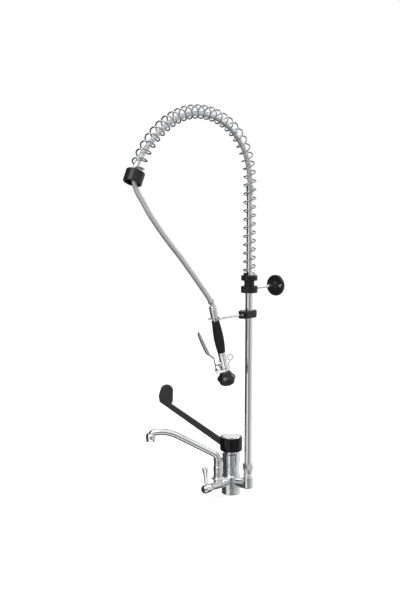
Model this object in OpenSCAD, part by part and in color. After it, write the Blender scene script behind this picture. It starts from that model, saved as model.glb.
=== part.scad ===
// Deck mounted pre rinse faucet for a restaurant sink.
// Millimetres. The counter is z = 0 and the foot stands at the origin.
// The front arm, the hook and the spring's arch point along -Y, the riser stands on the +X arm.

/* [Body] */
// Diameter of the round foot
foot_d = 56; // [54:1:60]
// Height of the wide foot
foot_h = 54; // [52:1:58]
// Diameter of the barrel above the foot
barrel_d = 50; // [48:1:52]
// Height of the casting, up to the cartridge collar
barrel_h = 98; // [94:1:106]
// Height of the arms' axis
arm_z = 40; // [38:1:42]
// Diameter of the arms where they leave the foot
arm_d = 31; // [28:1:32]
// Diameter of the front arm at its tap end
tap_end_d = 20; // [18:1:24]
// Distance from the foot's axis to the riser's axis
riser_x = 65; // [60:1:70]
// Distance from the foot's axis to the spout's axis
spout_y = 60; // [56:1:64]
// Distance from the foot's axis to the end of the front arm
tap_y = 88; // [86:1:96]
// Diameter of the fixing stud's thread under the foot
stud_d = 8; // [6:1:8]
// Diameter of the two inlet threads under the foot
inlet_d = 10; // [8:1:10]
// Height of the base plate that the stud and the inlets screw into
base_h = 16; // [14:1:18]
// Width of the flat gasket under the foot
gasket_w = 4.5; // [3:0.5:5]
// Thickness of the flat gasket under the foot
gasket_t = 2.5; // [2:0.5:4]

/* [Mixer] */
// Diameter of the mixing cartridge
cartridge_d = 35; // [33:1:35]
// Height of the mixing cartridge
cartridge_h = 46; // [42:1:46]
// Diameter of the chrome collar round the cartridge
collar_d = 53; // [52:1:54]
// Height of the chrome collar round the cartridge
collar_h = 26; // [24:1:28]
// Diameter of the black hub
hub_d = 67; // [66:1:72]
// Height of the black hub
hub_h = 42; // [40:1:48]
// Space between the collar and the hub's lower rim
hub_gap = 7; // [6:1:9]
// Diameter of the chrome disc on the hub
disc_d = 54; // [46:1:56]
// Width of the square cartridge stem
stem_w = 8; // [6:0.5:8]

/* [Lever] */
// Direction that the lever and the spout point in, from +X
front_turn = 222; // [210:1:230]
// Distance from the hub's axis to the end of the lever's arm
lever_reach = 193; // [170:1:210]
// Rise of the lever's arm, in degrees
lever_rise = 35.5; // [30:0.5:38]
// Width of the lever's arm at the paddle
lever_w = 16; // [14:1:20]
// Thickness of the lever and its paddle
lever_t = 12; // [9:1:13]
// Width of the elbow paddle
paddle_w = 42; // [36:1:46]
// Height of the elbow paddle over the arm's end
paddle_h = 57; // [50:1:60]

/* [Spout] */
// Outer diameter of the spout's tube
spout_d = 19; // [17:1:19]
// Wall of the spout's tube
spout_wall = 2; // [1.5:0.5:2.5]
// Height of the spout tube's lower upright part
spout_up = 48; // [44:1:54]
// Length of the spout's straight run
spout_run = 118; // [90:1:150]
// Rise of the straight run, in degrees
spout_rise = 27; // [22:1:32]
// Diameter of the aerator housing
aerator_d = 29; // [27:1:32]
// Height of the aerator housing
aerator_h = 23; // [20:1:26]
// Diameter of the spout's nut
spout_nut_d = 27; // [26.5:0.5:30]
// Height of the spout's nut over the start of the tube's first bend
nut_over_bend = 6; // [4:0.5:6]
// Height of the coupling under the spout's nut
coupling_h = 21; // [19:1:24]

/* [Tap] */
// Diameter of the tap's hub
tap_hub_d = 25; // [24:1:27]
// Length of the tap's hub
tap_hub_l = 28; // [26:1:31]
// Height of the tap's lever over its axis
tap_lever_h = 65; // [55:1:72]
// Diameter of the tap lever's flared end
tap_lever_d = 17; // [14:1:19]
// Outward lean of the tap lever, in degrees
tap_lean = 7; // [0:1:10]

/* [Riser] */
// Outer diameter of the riser column
column_d = 22; // [20:1:22]
// Wall of the riser column
column_wall = 2; // [1.5:0.5:2]
// Height of the spring's seat over the counter
seat_z = 659; // [640:1:680]
// Outer diameter of the inner riser tube in the spring
inner_d = 17; // [15:1:17]
// Length of the inner riser tube over the spring's seat
inner_l = 241; // [200:1:241]
// Width across the flats of the riser's nut
riser_nut_w = 29; // [28:1:32]
// Height of the riser's nut
riser_nut_h = 16; // [14:1:18]
// Height of the coupling under the riser's nut
riser_coupling_h = 24; // [20:1:26]

/* [Clamps] */
// Length of the hook's clamp
hook_clamp_l = 66; // [64:1:68]
// Distance that the hook's clamp is moved towards the hook
hook_clamp_shift = 6.5; // [5:0.5:8]
// Width of the hook's clamp
hook_clamp_w = 30; // [28:1:34]
// Height of the hook's clamp
hook_clamp_h = 21; // [18:1:24]
// Diameter of the hook's rod
hook_rod_d = 6; // [5:0.5:7]
// Outer width of the hook's fork
fork_w = 38; // [34:1:42]
// Thickness of the hook's fork
fork_t = 3; // [2:0.5:3]
// Diameter of the spring holder's flange
holder_d = 47; // [44:1:50]
// Height of the spring holder's flange
holder_flange_h = 15; // [12:1:18]
// Height of the spring holder's neck
holder_neck_h = 16; // [13:1:18]
// Diameter of the spring holder's neck
holder_neck_d = 29; // [27:1:32]
// Diameter of the wall bracket's clamp
wall_clamp_d = 48; // [45:1:51]
// Height of the wall bracket's clamp
wall_clamp_h = 19; // [17:1:22]

/* [Wall bracket] */
// Diameter of the wall rod
wall_rod_d = 8; // [7:0.5:10]
// Distance from the riser's axis to the wall
wall_y = 128; // [120:1:150]
// Diameter of the wall flange
wall_flange_d = 62; // [60:1:70]
// Thickness of the wall flange
wall_flange_t = 8; // [6:1:10]
// Distance between the wall flange's two screw holes
wall_hole_pitch = 40; // [38:1:44]
// Diameter of the wall flange's screw holes
wall_hole_d = 5.2; // [4.2:0.2:6]

/* [Spring and hose] */
// Outer diameter of the spring
spring_d = 38; // [38:1:40]
// Diameter of the spring's wire
spring_wire = 4; // [3:0.5:4]
// Turns of the spring
spring_turns = 36; // [30:1:40]
// Length of the spring's upright part
spring_straight = 266; // [255:1:275]
// First radius of the arch, over the riser
arch_r1 = 170; // [165:1:175]
// Turn of the arch's first radius, in degrees
arch_a1 = 62; // [60:1:64]
// Second radius of the arch, over its crown
arch_r2 = 245; // [240:1:250]
// Turn of the arch's second radius, in degrees
arch_a2 = 53; // [51:1:55]
// Third radius of the arch, down to the end collar
arch_r3 = 280; // [275:1:285]
// Turn of the arch's third radius, in degrees
arch_a3 = 40.5; // [38:0.5:42]
// Outer diameter of the end collar
end_collar_d = 48; // [46:1:52]
// Length of the end collar
end_collar_l = 32; // [30:1:40]
// Outer diameter of the hose
hose_d = 14; // [13:1:15]

/* [Spray gun] */
// Distance from the riser's axis to the top of the gun's nut
gun_y = 160; // [158:1:162]
// Height of the top of the gun's nut
gun_z = 585; // [583:1:587]
// Lean of the gun, its top away from the riser, in degrees
gun_tilt = 16; // [14:1:18]
// Diameter of the gun's nut
gun_nut_d = 21.6; // [20.5:0.5:24]
// Length of the gun's nut
gun_nut_l = 34; // [30:1:38]
// Diameter of the gun's inner tube
gun_tube_d = 16; // [14:1:16]
// Length of the gun's neck, which hangs in the fork
gun_neck_l = 10; // [10:0.5:12]
// Length of the fluted grip
grip_l = 92.5; // [84:0.5:104]
// Diameter of the grip at its ends
grip_end_d = 21.6; // [20:0.5:23]
// Diameter of the grip at its middle
grip_d = 28; // [25:0.5:31]
// Number of flutes round the grip
grip_flutes = 16; // [10:1:20]
// Diameter of the valve body
valve_d = 21; // [20:0.5:23]
// Length of the valve body
valve_l = 58; // [56:1:64]
// Diameter of the spray head's rim
head_d = 52; // [46:1:56]
// Height of the spray head's bell
head_h = 39; // [37:1:42]
// Width of the trigger
trigger_w = 12; // [10:1:14]
// Thickness of the trigger
trigger_t = 3; // [2.5:0.5:3.5]
// Distance from the gun's axis to the trigger's tip
trigger_out = 53; // [48:1:58]
// Inner radius of the hanging loop
loop_r = 6.5; // [5:0.5:7]

/* [Fits] */
// Clearance on the radius of a running fit
run_gap = 0.06; // [0.04:0.01:0.08]
// Gap between faces that move past each other
face_gap = 0.3; // [0.3:0.05:0.4]

/* [Hidden] */

CHROME = [0.80, 0.81, 0.83];
STEEL = [0.62, 0.63, 0.65];
BLACK = [0.06, 0.06, 0.065];
RUBBER = [0.10, 0.10, 0.10];
BRASS = [0.78, 0.64, 0.36];
WHITE = [0.90, 0.90, 0.88];
GRAY = [0.55, 0.56, 0.58];
$fn = 48;
eps = 0.01;

// Levels of the mixer's stack
well_z = barrel_h + collar_h - 6 - cartridge_h;
nut_z = well_z + cartridge_h;
collar_top = barrel_h + collar_h;
hub_z = collar_top + hub_gap;
hub_top = hub_z + hub_h;
pivot_z = hub_z + 11;
hub_roof = hub_z + 27;
nut_r = 21;
nut_h = 12;
rotor_r = 12;
cheek_r = 9;
hub_wall = 3.5;
disc_sink = 3;

// Levels of the spout's branch
flange_z = arm_z + 18;
flange_t = 5;
coupling_z = flange_z + flange_t;
spout_nut_z = coupling_z + coupling_h;
bend_z = coupling_z + 3 + spout_up;
spout_nut_h = bend_z + nut_over_bend - spout_nut_z;
spout_tail_z = coupling_z + 3;
spout_bead_d = spout_d + 3.4;
spout_bead_h = 4;
outlet_bend_r = 12;
crown_bend_r = 110;
crown_drop = 10;
root_bend_r = 22;
bend_step = 0.03;
leg_overlap = 0.5;
spout_legs = [[spout_up, 0], [root_bend_r, 90 - spout_rise], [spout_run, 0],
    [crown_bend_r, spout_rise + crown_drop], [1, 0], [outlet_bend_r, 90 - crown_drop], [1, 0]];

// Levels of the riser's branch
riser_boss_z = arm_z - 9;
riser_boss_h = 34;
riser_coupling_z = riser_boss_z + riser_boss_h;
riser_nut_z = riser_coupling_z + riser_coupling_h;
column_top = seat_z - 7;
wall_clamp_z = seat_z - holder_flange_h - holder_neck_h - wall_clamp_h;
rod_lift = 2.5;
wall_rod_z = wall_clamp_z + wall_clamp_h / 2 + rod_lift;
wall_boss_y = wall_clamp_d / 2 + 9;
wall_boss_r = wall_clamp_h / 2 - rod_lift - 0.3;
boss_screw_y = wall_boss_y - 6;
rod_depth = 16;

// The gun's own axis runs down from the top of its nut
neck_top = -gun_nut_l;
neck_bottom = neck_top - gun_neck_l;
washer_t = 2.5;
grip_top = neck_bottom - washer_t;
grip_bottom = grip_top - grip_l;
valve_bottom = grip_bottom - valve_l;
boss_h = valve_bottom + 23;
trigger_pivot = [valve_d / 2 + 13.5, valve_bottom + 4];
hook_drop = gun_nut_l + gun_neck_l / 2;
hook_z = gun_z - hook_drop * cos(gun_tilt);
hook_y = gun_y - hook_drop * sin(gun_tilt);

// Route of the hose in the riser's plane, [y, z]: up in the spring, over the arch, down to the gun
ferrule_over = 15;
hose_start = seat_z + inner_l + ferrule_over;
hose_route = [[0, hose_start], [-1, (hose_start + 964) / 2], [-6, 964], [-18, 996],
    [-36, 1024], [-59, 1047], [-86, 1067], [-116, 1081], [-147, 1092], [-180, 1097],
    [-213, 1099], [-246, 1095], [-279, 1087], [-310, 1075], [-334, 1062], [-355, 1047.5],
    [-373, 1033.5], [-389, 1019], [-405, 1004], [-420.5, 988], [-434.5, 971], [-446, 952],
    [-451.5, 931], [-449, 909.5], [-439, 890], [-425.5, 872.5], [-412.5, 855], [-399, 837.5],
    [-384.5, 821], [-354.5, 789], [-323, 758], [-291, 728], [-260, 697], [-235, 671],
    [-208, 643], [-180, 613], [-169, 600]];
hose_end_tilt = 42;
hose_sides = 12;

// Points along the spring's centre line, [y, z, heading], the heading counted from +Y towards +Z
arch_legs = [[arch_r1, arch_a1], [arch_r2, arch_a2], [arch_r3, arch_a3]];
function leg_length(leg) = leg[0] * leg[1] * PI / 180;
arch_l = leg_length(arch_legs[0]) + leg_length(arch_legs[1]) + leg_length(arch_legs[2]);
spring_l = spring_straight + arch_l;
function arc_step(p, r, a) = [p[0] + r * (sin(p[2] + a) - sin(p[2])),
    p[1] - r * (cos(p[2] + a) - cos(p[2])), p[2] + a];
function on_arch(s, p, i = 0) =
    let(leg = arch_legs[i], l = leg_length(leg))
    s <= l || i == len(arch_legs) - 1
        ? arc_step(p, leg[0], s / leg[0] * 180 / PI)
        : on_arch(s - l, arc_step(p, leg[0], leg[1]), i + 1);
function on_axis(s) = s < spring_straight
    ? [0, seat_z + s, 90]
    : on_arch(s - spring_straight, [0, seat_z + spring_straight, 90]);
arch_end = on_axis(spring_l);

// The spring's wire: one straight leg, the turns with eight rings each, one straight leg
rings_per_turn = 8;
wire_sides = 6;
coil_r = (spring_d - spring_wire) / 2;
coil_start = 155;
ring_count = spring_turns * rings_per_turn;
function ring_s(i) = i == 0 ? 0 : i == ring_count + 2 ? spring_l
    : spring_wire + (spring_l - 2 * spring_wire) * (i - 1) / ring_count;
function ring_turn(i) =
    coil_start + max(0, min(ring_count, i - 1)) * 360 / rings_per_turn;
function out_dir(i) = let(h = on_axis(ring_s(i))[2], t = ring_turn(i))
    [sin(t), -cos(t) * sin(h), cos(t) * cos(h)];
function wire_point(i) = let(c = on_axis(ring_s(i)))
    [riser_x, c[0], c[1]] + coil_r * out_dir(i);
wire = [for (i = [0:ring_count + 2]) wire_point(i)];
function unit(v) = v / norm(v);
function heading(path, i, first, last) = i == 0 ? first
    : i == len(path) - 1 ? last : unit(path[i + 1] - path[i - 1]);

// The least distance between two stretches of the wire that are a turn or more apart
spring_self_gap = min([for (i = [1:ring_count + 1 - rings_per_turn])
    for (j = [i + rings_per_turn - 2:min(i + rings_per_turn + 2, ring_count + 1)])
        norm(wire[i] - wire[j])]) - spring_wire;
echo("least gap of the spring to itself, mm", spring_self_gap);

// The hose's rings, two for each route point, on a smooth curve through the points
function blend_point(a, b, c, d, t) = 0.5 * ((2 * b) + (c - a) * t
    + (2 * a - 5 * b + 4 * c - d) * t * t + (3 * b - a - 3 * c + d) * t * t * t);
function route_point(i) = hose_route[max(0, min(len(hose_route) - 1, i))];
hose_path = [for (i = [0:len(hose_route) - 2]) for (t = [0, 0.5])
        let(p = blend_point(route_point(i - 1), route_point(i), route_point(i + 1),
            route_point(i + 2), t)) [riser_x, p[0], p[1]],
    [riser_x, route_point(len(hose_route))[0], route_point(len(hose_route))[1]]];
hose_first = [0, 0, 1];
hose_last = [0, sin(hose_end_tilt), -cos(hose_end_tilt)];

// ---------- shared shapes ----------

// A ring or tube standing on the plane z = 0
module pipe(r, hole, h) {
    difference() {
        cylinder(r = r, h = h);
        translate([0, 0, -eps]) cylinder(r = hole, h = h + 2 * eps);
    }
}

// A turned piece from its outline, [radius, height] points from the axis and back to it
module turned(points) {
    rotate_extrude() polygon(points);
}

// A torus lying on the plane z = 0
module torus(r, wire_r) {
    rotate_extrude() translate([r, 0]) circle(r = wire_r);
}

// A solid through rings of points, closed at both ends, all faces triangles
module skin(rings) {
    n = len(rings[0]);
    m = len(rings);
    polyhedron(
        points = [for (ring = rings) each ring],
        faces = [
            for (k = [1:n - 2]) [0, k, k + 1],
            for (i = [0:m - 2]) for (k = [0:n - 1])
                [i * n + k, (i + 1) * n + k, i * n + (k + 1) % n],
            for (i = [0:m - 2]) for (k = [0:n - 1])
                [i * n + (k + 1) % n, (i + 1) * n + k, (i + 1) * n + (k + 1) % n],
            for (k = [1:n - 2]) [(m - 1) * n, (m - 1) * n + k + 1, (m - 1) * n + k]
        ]);
}

// A ring of points square to a path, its first corner towards side
function section(p, along, side, r, sides) =
    let(u = unit(side - (side * along) * along), v = cross(along, u))
    [for (k = [0:sides - 1]) let(a = -360 * k / sides) p + r * (cos(a) * u + sin(a) * v)];

// A tube of straight and bent legs, [length, 0] or [radius, turn], that starts up +Z and bends to
// +X. The straight legs run a little way into the bends, which are thicker by bend_step.
module bent_tube(legs, r, i = 0) {
    if (i < len(legs)) {
        leg = legs[i];
        if (leg[1] == 0) {
            before = i == 0 ? 0 : leg_overlap;
            after = i == len(legs) - 1 ? 0 : leg_overlap;
            translate([0, 0, -before]) cylinder(r = r, h = leg[0] + before + after);
        } else
            translate([leg[0], 0, 0]) rotate([90, 0, 180])
                rotate_extrude(angle = leg[1]) translate([leg[0], 0]) circle(r = r + bend_step);
        past_leg(leg) bent_tube(legs, r, i + 1);
    }
}

// The place and heading after one leg
module past_leg(leg) {
    if (leg[1] == 0)
        translate([0, 0, leg[0]]) children();
    else
        translate([leg[0] * (1 - cos(leg[1])), 0, leg[0] * sin(leg[1])])
            rotate([0, leg[1], 0]) children();
}

// The place and heading after all legs
module past_legs(legs, i = 0) {
    if (i == len(legs))
        children();
    else
        past_leg(legs[i]) past_legs(legs, i + 1) children();
}

// A flat bar with round ends between two points in the XZ plane
module bar(a, b, t, w) {
    d = b - a;
    translate([a[0], 0, a[1]]) rotate([0, atan2(d[0], d[1]), 0]) {
        translate([-t / 2, -w / 2, 0]) cube([t, w, norm(d)]);
        for (z = [0, norm(d)]) translate([0, 0, z]) rotate([90, 0, 0])
            cylinder(r = t / 2, h = w, center = true);
    }
}

// A round rod between two points in the XZ plane
module rod(a, b, r) {
    d = b - a;
    translate([a[0], 0, a[1]]) rotate([0, atan2(d[0], d[1]), 0]) cylinder(r = r, h = norm(d));
}

// A grub screw with a hexagon socket, its tip at z = 0
module grub_screw(d, l) {
    difference() {
        cylinder(d = d, h = l);
        translate([0, 0, l - min(d, l) / 2]) cylinder(d = d / 2, h = d, $fn = 6);
    }
}

// ---------- places ----------

module at_lever() { rotate([0, 0, front_turn]) children(); }
module at_spout() { translate([0, -spout_y, 0]) children(); }
module at_riser() { translate([riser_x, 0, 0]) children(); }
module at_tap() { translate([0, -tap_y, arm_z]) rotate([90, 0, 0]) children(); }
module at_spout_end() {
    at_spout() translate([0, 0, spout_tail_z]) rotate([0, 0, front_turn])
        past_legs(spout_legs) children();
}
module at_gun() {
    translate([riser_x, -gun_y, gun_z]) rotate([gun_tilt, 0, 0]) rotate([0, 0, front_turn])
        children();
}
module at_arch_end() {
    translate([riser_x, arch_end[0], arch_end[1]]) rotate([arch_end[2] - 90, 0, 0]) children();
}

// ---------- body and deck ----------

gasket_r = foot_d / 2 - 4;
module deck_gasket() {
    color(RUBBER) pipe(gasket_r, gasket_r - gasket_w, gasket_t);
}

spout_boss_r = 13;
spout_flange_r = 19;
spout_bore_r = 9;
riser_boss_r = 15.5;
riser_bore_r = 9;
head_bore_r = 7;
head_bore_l = 16;
stud_y = 13;
inlet_x = 8.5;
inlet_y = -6;
module mixer_base() {
    r = foot_d / 2;
    color(CHROME) difference() {
        turned([[0, 0], [r - 1.5, 0], [r, 1.5], [r, base_h], [0, base_h]]);
        translate([0, 0, -eps]) {
            pipe(gasket_r, gasket_r - gasket_w, gasket_t + eps);
            translate([0, stud_y, 0]) cylinder(d = stud_d, h = base_h + 1);
            for (x = [-inlet_x, inlet_x]) translate([x, inlet_y, 0])
                cylinder(d = inlet_d, h = base_h + 1);
        }
    }
}

module mixer_body() {
    color(CHROME) difference() {
        union() {
            turned([[0, base_h], [foot_d / 2, base_h], [foot_d / 2, foot_h],
                [barrel_d / 2, foot_h + 5], [barrel_d / 2, barrel_h - 1.5],
                [collar_d / 2, barrel_h - 1.5], [collar_d / 2, barrel_h], [0, barrel_h]]);
            translate([0, 0, arm_z]) rotate([90, 0, 0])
                cylinder(d1 = arm_d + 2, d2 = tap_end_d, h = tap_y);
            translate([0, 0, arm_z]) rotate([0, 90, 0]) cylinder(d = arm_d - 1, h = riser_x);
            at_spout() {
                translate([0, 0, arm_z]) cylinder(r = spout_boss_r, h = flange_z - arm_z);
                translate([0, 0, flange_z]) turned([[0, 0], [spout_flange_r - 1, 0],
                    [spout_flange_r, 1], [spout_flange_r, flange_t - 1],
                    [spout_flange_r - 1, flange_t], [0, flange_t]]);
            }
            at_riser() translate([0, 0, riser_boss_z]) turned([[0, 0], [riser_boss_r - 2, 0],
                [riser_boss_r, 2], [riser_boss_r, riser_boss_h - 1],
                [riser_boss_r - 1, riser_boss_h], [0, riser_boss_h]]);
        }
        translate([0, 0, well_z]) cylinder(d = cartridge_d + 0.4, h = barrel_h);
        at_spout() translate([0, 0, arm_z + 2]) cylinder(r = spout_bore_r, h = barrel_h);
        at_riser() translate([0, 0, arm_z + 2]) cylinder(r = riser_bore_r, h = barrel_h);
        at_tap() translate([0, 0, -head_bore_l]) cylinder(r = head_bore_r, h = tap_y);
    }
}

// ---------- mixer ----------

module cartridge_collar() {
    color(CHROME) translate([0, 0, barrel_h]) difference() {
        turned([[0, 0], [collar_d / 2, 0], [collar_d / 2, collar_h - 2],
            [collar_d / 2 - 2, collar_h], [0, collar_h]]);
        translate([0, 0, -eps]) cylinder(d = cartridge_d + 0.4, h = collar_h + 1);
        translate([0, 0, nut_z - barrel_h]) cylinder(r = nut_r, h = collar_h);
    }
}

module cartridge() {
    color(BLACK) translate([0, 0, well_z]) cylinder(d = cartridge_d, h = cartridge_h);
}

module cartridge_nut() {
    color(CHROME) translate([0, 0, nut_z]) difference() {
        turned([[0, 0], [nut_r, 0], [nut_r, nut_h - 1], [nut_r - 1, nut_h], [0, nut_h]]);
        translate([0, 0, -eps]) cylinder(r = rotor_r + run_gap, h = nut_h + 1);
        for (a = [0:90:270]) rotate([0, 0, a]) translate([nut_r - 3, -2, nut_h - 4])
            cube([4, 4, 5]);
    }
}

slot_w = stem_w + 0.2;
cheek_top = pivot_z + 6;
pin_r = 1.5;
module cartridge_rotor() {
    base_z = nut_z + face_gap;
    color(WHITE) at_lever() difference() {
        union() {
            translate([0, 0, base_z]) cylinder(r = rotor_r, h = pivot_z - 8 - base_z);
            translate([0, 0, base_z]) cylinder(r = cheek_r, h = cheek_top - base_z);
        }
        translate([-rotor_r - 1, -slot_w / 2, pivot_z - 9]) cube([2 * rotor_r + 2, slot_w, 20]);
        translate([0, 0, pivot_z]) rotate([90, 0, 0])
            cylinder(r = pin_r, h = 3 * cheek_r, center = true);
    }
}

module stem_pin() {
    color(STEEL) at_lever() translate([0, 0, pivot_z]) rotate([90, 0, 0])
        cylinder(r = pin_r, h = 2 * cheek_r - 1.6, center = true);
}

stem_bottom = pivot_z - 6;
stem_top = hub_roof + 10;
module cartridge_stem() {
    color(BRASS) at_lever() difference() {
        translate([-stem_w / 2, -stem_w / 2, stem_bottom])
            cube([stem_w, stem_w, stem_top - stem_bottom]);
        translate([0, 0, pivot_z]) rotate([90, 0, 0])
            cylinder(r = pin_r + run_gap, h = 2 * stem_w, center = true);
    }
}

tenon_w = 8;
tenon_h = 8;
tenon_x = 18;
grub_d = 5;
grub_l = 12;
grub_z = hub_roof + 5;
module hub_outline() {
    r = hub_d / 2;
    turned([[0, hub_z], [r - 5, hub_z], [r - 2.5, hub_z + 0.8], [r - 0.7, hub_z + 2.6],
        [r, hub_z + 5.5], [r, hub_top - 2.4], [r - 0.7, hub_top - 0.7], [r - 2.4, hub_top],
        [0, hub_top]]);
}
module mixer_hub() {
    color(BLACK) at_lever() difference() {
        hub_outline();
        translate([0, 0, hub_z - eps]) {
            cylinder(r = hub_d / 2 - hub_wall, h = hub_roof - hub_z);
            cylinder(r1 = hub_d / 2 - 1.6, r2 = hub_d / 2 - hub_wall, h = 5);
        }
        translate([0, 0, hub_top - disc_sink]) cylinder(d = disc_d, h = hub_top);
        translate([-stem_w / 2, -stem_w / 2, hub_roof - 1])
            cube([stem_w, stem_w, stem_top - hub_roof + 1]);
        translate([tenon_x, -tenon_w / 2, grub_z - tenon_h / 2]) cube([hub_d, tenon_w, tenon_h]);
        translate([-hub_d, 0, grub_z]) rotate([0, 90, 0])
            cylinder(d = grub_d, h = hub_d - stem_w / 2 + eps);
    }
}

module hub_disc() {
    r = disc_d / 2;
    color(CHROME) at_lever() translate([0, 0, hub_top - disc_sink])
        turned([[0, 0], [r, 0], [r, disc_sink], [r - 1, disc_sink + 0.8],
            [r - 6, disc_sink + 1.4], [0, disc_sink + 1.8]]);
}

module hub_grub_screw() {
    color(STEEL) at_lever() translate([-stem_w / 2, 0, grub_z]) rotate([0, -90, 0])
        grub_screw(grub_d, grub_l);
}

// A round pad with soft edges, standing in the lever's plane
module pad(x, z, r) {
    edge = lever_t / 3;
    translate([x, 0, z]) rotate([90, 0, 0]) {
        cylinder(r = r - edge, h = lever_t, center = true, $fn = 32);
        cylinder(r = r - edge * 0.3, h = lever_t - edge * 0.6, center = true, $fn = 32);
        cylinder(r = r, h = lever_t - 2 * edge, center = true, $fn = 32);
    }
}
corner_r = 5;
module elbow_lever() {
    root_r = lever_w / 2 + 2;
    root_x = 20;
    root_z = hub_z + 19.5;
    end_z = root_z + (lever_reach - root_x) * tan(lever_rise);
    head_r = paddle_w / 2 - 2;
    top_z = end_z + paddle_h;
    corner = [lever_reach + 15.5, end_z + 7.6];
    color(BLACK) at_lever() {
        difference() {
            union() {
                hull() {
                    pad(root_x, root_z, root_r);
                    pad(lever_reach, end_z, lever_w / 2);
                    pad(corner[0], corner[1], corner_r);
                }
                hull() {
                    pad(lever_reach - 1.5, top_z - head_r, head_r);
                    pad(lever_reach + 8, top_z - paddle_h * 0.6, head_r * 0.76);
                    pad(corner[0], corner[1], corner_r);
                    pad(lever_reach - 12, top_z - paddle_h * 0.88, 7.5);
                }
            }
            translate([0, 0, hub_z - 30]) cylinder(d = hub_d, h = hub_h + 60);
        }
        translate([tenon_x, -tenon_w / 2, grub_z - tenon_h / 2])
            cube([hub_d / 2 - tenon_x + 3, tenon_w, tenon_h]);
    }
}

// ---------- spout ----------

module spout_coupling() {
    color(CHROME) at_spout() difference() {
        union() {
            translate([0, 0, arm_z + 6])
                cylinder(r = spout_bore_r, h = coupling_z - arm_z - 6 + eps);
            translate([0, 0, coupling_z]) {
                cylinder(d = spout_nut_d, h = 4);
                cylinder(d = spout_nut_d - 1.6, h = coupling_h);
                translate([0, 0, coupling_h - 4]) cylinder(d = spout_nut_d, h = 4);
            }
        }
        translate([0, 0, arm_z]) cylinder(d = spout_d - 2 * spout_wall, h = barrel_h);
        translate([0, 0, spout_tail_z - face_gap])
            cylinder(d = spout_bead_d + 2 * face_gap, h = barrel_h);
    }
}

seal_r = 0.9;
seal_levels = [6, 20];
seal_track_r = spout_d / 2 + face_gap + seal_r;
module spout_nut() {
    r = spout_nut_d / 2;
    color(CHROME) at_spout() translate([0, 0, spout_nut_z]) difference() {
        turned([[0, 0], [r, 0], [r, 11], [r - 1.1, 12.5], [r - 1.1, spout_nut_h - 8],
            [r, spout_nut_h - 6.5], [r, spout_nut_h - 1], [r - 1, spout_nut_h],
            [0, spout_nut_h]]);
        translate([0, 0, -eps]) cylinder(r = spout_d / 2 + run_gap, h = spout_nut_h + 1);
        translate([0, 0, bend_z - 0.4 - spout_nut_z])
            cylinder(r = spout_nut_d / 2 - 2, h = spout_nut_h);
        for (z = seal_levels) translate([0, 0, z])
            cylinder(r = seal_track_r + seal_r, h = 2 * seal_r);
    }
}

module spout_seals() {
    color(RUBBER) at_spout() for (z = seal_levels) translate([0, 0, spout_nut_z + z + seal_r])
        torus(seal_track_r, seal_r);
}

module spout_tube() {
    bore_r = spout_d / 2 - spout_wall;
    color(CHROME) at_spout() translate([0, 0, spout_tail_z]) rotate([0, 0, front_turn])
        difference() {
            union() {
                bent_tube(spout_legs, spout_d / 2);
                cylinder(d = spout_bead_d, h = spout_bead_h);
            }
            bent_tube(spout_legs, bore_r);
            translate([0, 0, -1]) cylinder(r = bore_r, h = 2);
            past_legs(spout_legs) translate([0, 0, -1]) cylinder(r = bore_r, h = 2);
        }
}

aerator_low = 13;
aerator_bore = 11;
aerator_seat = 1.5;
module aerator_housing() {
    r = aerator_d / 2;
    top = aerator_low - aerator_h;
    color(CHROME) difference() {
        at_spout_end() difference() {
            turned([[0, top], [r - 5, top], [r - 1.8, top + 1.8], [r, top + 5], [r, 4],
                [r - 1, 5], [r - 1, 6.2], [r - 0.4, 7], [r - 1.2, aerator_low], [0, aerator_low]]);
            translate([0, 0, aerator_seat]) cylinder(r = aerator_bore, h = aerator_h);
            translate([0, 0, -eps]) cylinder(r = spout_d / 2 - spout_wall, h = aerator_h);
        }
        at_spout() translate([0, 0, spout_tail_z]) rotate([0, 0, front_turn])
            bent_tube(spout_legs, spout_d / 2);
    }
}

module aerator_insert() {
    color(WHITE) at_spout_end() translate([0, 0, aerator_seat]) difference() {
        cylinder(r = aerator_bore, h = 10);
        for (r = [3, 5.4, 7.8]) translate([0, 0, 4]) pipe(r + 0.7, r - 0.7, 8);
        translate([0, 0, -eps]) cylinder(r = 1.2, h = 12);
    }
}

// ---------- tap ----------

tap_neck_l = 8;
spindle_r = 3;
module tap_headwork() {
    color(CHROME) at_tap() difference() {
        union() {
            translate([0, 0, -head_bore_l]) cylinder(r = head_bore_r, h = head_bore_l + eps);
            cylinder(r = 8.5, h = tap_neck_l - 1.5, $fn = 6);
            cylinder(r = 6, h = tap_neck_l);
        }
        translate([0, 0, -head_bore_l - eps])
            cylinder(r = spindle_r + run_gap, h = head_bore_l + tap_neck_l + 1);
    }
}

module tap_spindle() {
    color(BRASS) at_tap() translate([0, 0, 2 - head_bore_l])
        cylinder(r = spindle_r, h = head_bore_l + tap_neck_l + 8);
}

cap_r = 8;
cap_t = 2;
tap_axis_l = tap_neck_l + tap_hub_l / 2;
module tap_hub() {
    r = tap_hub_d / 2;
    color(CHROME) at_tap() translate([0, 0, tap_neck_l + face_gap]) difference() {
        turned([[0, 0], [r - 2.5, 0], [r - 0.6, 1.4], [r, 4], [r, tap_hub_l - 5],
            [r - 1.2, tap_hub_l - 2], [r - 3.5, tap_hub_l], [0, tap_hub_l]]);
        translate([0, 0, -eps]) cylinder(r = spindle_r, h = 10 - face_gap + eps);
        translate([0, 0, tap_hub_l - cap_t]) cylinder(r = cap_r, h = cap_t + 1);
        translate([0, 0, tap_axis_l - tap_neck_l - face_gap]) rotate([tap_lean - 90, 0, 0])
            translate([0, 0, 3]) cylinder(r = tap_lever_d / 4, h = tap_hub_d);
    }
}

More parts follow.
